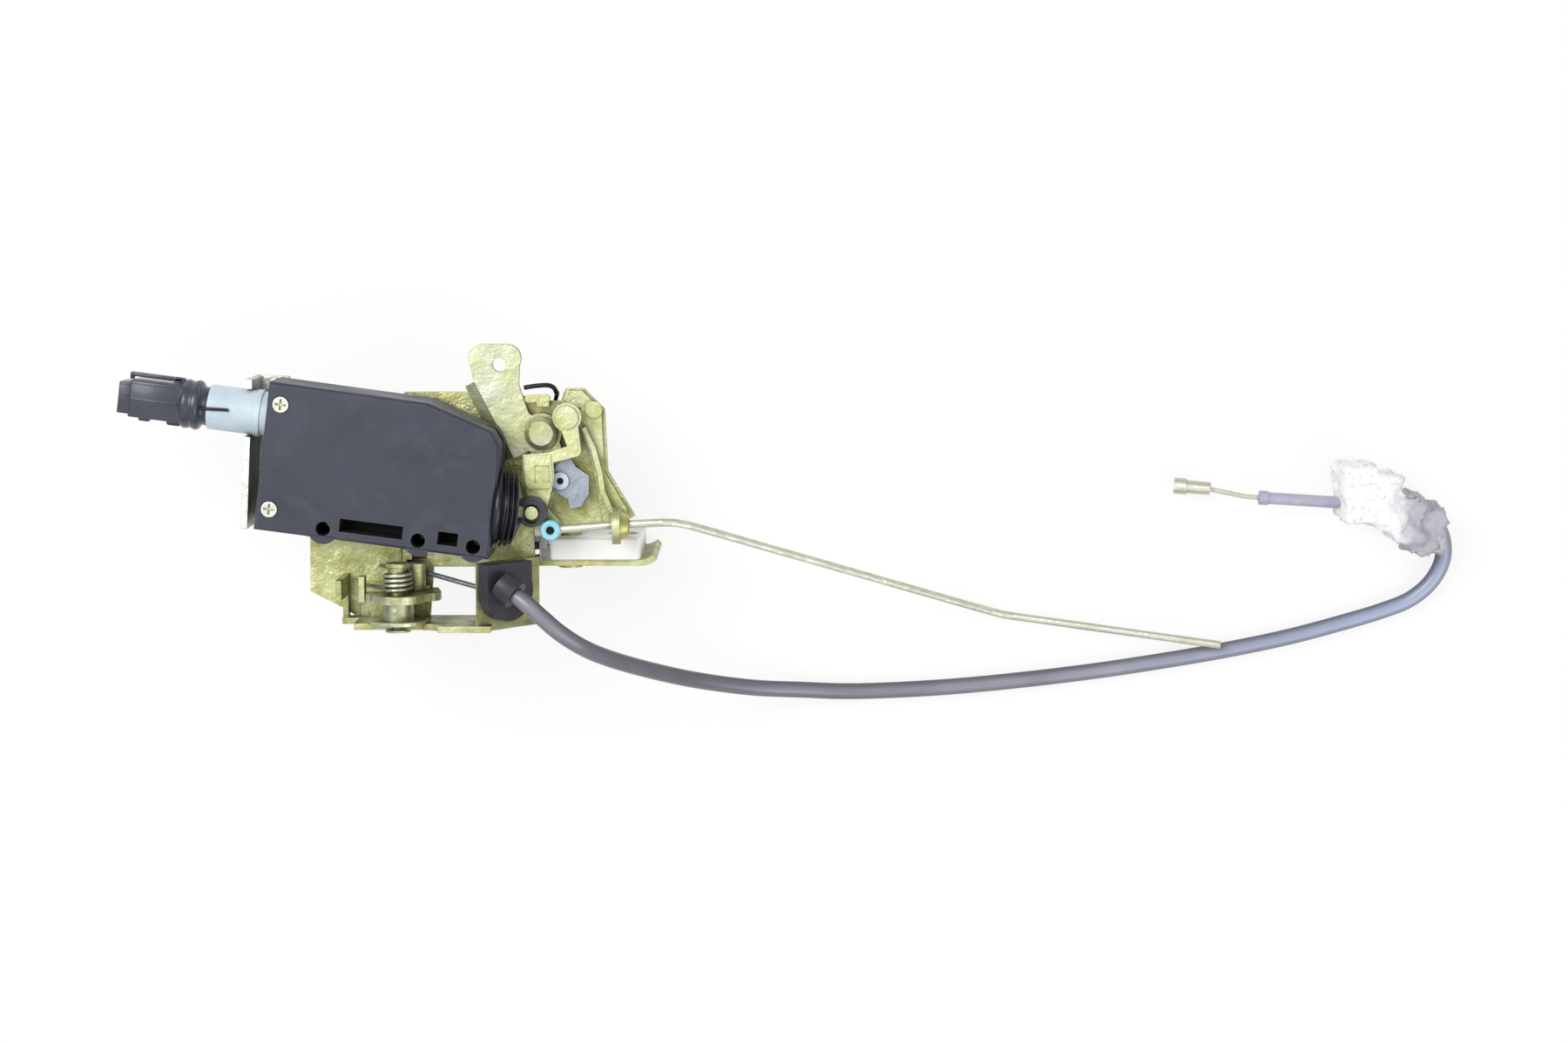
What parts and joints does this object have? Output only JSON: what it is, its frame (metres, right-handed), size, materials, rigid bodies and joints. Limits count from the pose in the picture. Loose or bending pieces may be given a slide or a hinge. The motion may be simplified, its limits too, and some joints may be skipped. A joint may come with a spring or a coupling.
{
  "type": "door latch actuator",
  "caption": "Vehicle door latch with rotary fork, hook pawl, power-lock actuator, lock-button rod and sheathed inside-release cable.",
  "frame": {"origin": "centre of the four fixing holes, on the outer face of the faceplate", "axes": "+X along the faceplate towards the lock rod, +Y into the door from the shut face, +Z from the latch's back edges up through the actuator's cover"},
  "size_m": [0.4388, 0.1227, 0.071],
  "materials": {
    "zinc": "yellow-green chromated zinc plate",
    "zinc_dark": "chromated zinc plate, inner faces",
    "steel": "plain steel",
    "steel_bright": "bright plated steel",
    "spring_steel": "oiled spring steel",
    "nylon": "natural nylon",
    "slate_plastic": "black moulded plastic",
    "clip_blue": "light blue plastic",
    "rubber": "black rubber",
    "sheath": "grey-black cable sheath",
    "foam": "white foam",
    "brass": "plain brass",
    "gear_plastic": "acetal"
  },
  "bodies": {
    "latch_frame": {"main_plate": "zinc", "faceplate": "zinc", "side_gusset": "zinc_dark", "back_bracket": "zinc_dark", "latch_case": "nylon", "fork_pin": "zinc", "fork_spring": "spring_steel", "pawl_pin": "zinc", "pawl_spring": "spring_steel", "stop_buffer": "rubber", "lever_rivet": "zinc", "lever_spring": "spring_steel", "lever_stop": "rubber", "lock_pivot": "zinc", "guide_arm": "zinc", "guide_bush": "zinc_dark", "link_guides": "zinc", "release_bracket": "zinc", "release_pin": "zinc", "release_spring": "spring_steel", "cable_grommet": "rubber", "cable_sheath": "sheath", "foam_wrap": "foam", "cable_end_tube": "sheath", "actuator_base": "slate_plastic", "actuator_cover": "slate_plastic", "cover_screws": "steel_bright", "mounting_screws": "steel_bright", "motor": "steel", "gear_shaft": "steel", "plunger_boot": "rubber", "wire_leads": "rubber", "lead_sleeve": "nylon", "connector_body": "slate_plastic", "connector_terminals": "brass"},
    "fork": {"fork_bolt": "steel"},
    "pawl_hook": {"pawl": "steel"},
    "handle_lever": {"outside_lever": "zinc", "link_rivet": "steel_bright"},
    "lock_link": {"connecting_link": "steel_bright"},
    "plunger_rod": {"plunger": "slate_plastic"},
    "lock_arm": {"lock_lever": "zinc"},
    "button_rod": {"lock_rod": "zinc", "rod_clip": "clip_blue"},
    "gear": {"reduction_gear": "gear_plastic"},
    "worm": {"motor_worm": "brass"},
    "release_arm": {"release_lever": "zinc"},
    "release_slide": {"release_link": "zinc_dark"},
    "cable_wire": {"cable_inner": "steel_bright"},
    "cable_end": {"cable_end_nipple": "steel_bright"}
  },
  "joints": [
    {"name": "fork_turn", "type": "hinge", "parent": "latch_frame", "child": "fork", "pos_m": [-0.005, 0.005, 0.0015], "axis": [0, 1, 0], "range_deg": [-50, 0], "stiffness_Nm_per_rad": 0.02, "springref_deg": 17.19},
    {"name": "pawl_turn", "type": "hinge", "parent": "latch_frame", "child": "pawl_hook", "pos_m": [0.025, 0.005, 0.014], "axis": [0, -1, 0], "range_deg": [-16, 1]},
    {"name": "handle_lever_turn", "type": "hinge", "parent": "latch_frame", "child": "handle_lever", "pos_m": [0.0169, 0.0435, 0.0237], "axis": [0, 0, -1], "range_deg": [0, 15], "stiffness_Nm_per_rad": 0.05, "springref_deg": -11.46},
    {"name": "lock_link_swing", "type": "hinge", "parent": "handle_lever", "child": "lock_link", "pos_m": [0.0229, 0.0284, 0.026], "axis": [0, 0, 1], "range_deg": [0, 20]},
    {"name": "plunger_slide", "type": "slide", "parent": "latch_frame", "child": "plunger_rod", "axis": [0.9914, -0.1305, 0], "range_m": [0, 0.014]},
    {"name": "lock_lever_turn", "type": "hinge", "parent": "latch_frame", "child": "lock_arm", "pos_m": [0.02559, 0.04922, 0.031], "axis": [0, 0, 1], "range_deg": [0, 25.5]},
    {"name": "button_rod_turn", "type": "hinge", "parent": "lock_arm", "child": "button_rod", "pos_m": [0.0204, 0.0137, 0.032], "axis": [0, 0, 1], "range_deg": [-25.5, 0]},
    {"name": "gear_spin", "type": "hinge", "parent": "latch_frame", "child": "gear", "pos_m": [-0.02967, 0.02946, 0.035], "axis": [0, 0, 1], "range_deg": [0, 146]},
    {"name": "worm_spin", "type": "hinge", "parent": "latch_frame", "child": "worm", "pos_m": [-0.02786, 0.04315, 0.0355], "axis": [0.9914, -0.1305, 0], "range_deg": [0, 3210]},
    {"name": "release_lever_turn", "type": "hinge", "parent": "latch_frame", "child": "release_arm", "pos_m": [-0.0282, -0.006, 0.038], "axis": [0, -1, 0], "range_deg": [0, 15], "stiffness_Nm_per_rad": 0.05, "springref_deg": -11.46},
    {"name": "release_link_slide", "type": "slide", "parent": "latch_frame", "child": "release_slide", "axis": [1, 0, 0], "range_m": [0, 0.0055]},
    {"name": "cable_wire_slide", "type": "slide", "parent": "latch_frame", "child": "cable_wire", "axis": [0.8667, -0.1675, 0.4698], "range_m": [0, 0.0035]},
    {"name": "cable_end_slide", "type": "slide", "parent": "latch_frame", "child": "cable_end", "axis": [-0.9975, 0.0579, -0.0417], "range_m": [0, 0.0035]}
  ],
  "couplings": [
    {"joint": "lock_link_swing", "follows": "plunger_slide", "rad_per_m": 24.9},
    {"joint": "lock_lever_turn", "follows": "plunger_slide", "rad_per_m": 31.73},
    {"joint": "button_rod_turn", "follows": "plunger_slide", "rad_per_m": -31.73},
    {"joint": "gear_spin", "follows": "plunger_slide", "rad_per_m": 181.82},
    {"joint": "worm_spin", "follows": "plunger_slide", "rad_per_m": 4000},
    {"joint": "release_link_slide", "follows": "release_lever_turn", "m_per_rad": 0.021},
    {"joint": "cable_wire_slide", "follows": "release_lever_turn", "m_per_rad": 0.013},
    {"joint": "cable_end_slide", "follows": "release_lever_turn", "m_per_rad": 0.013}
  ]
}
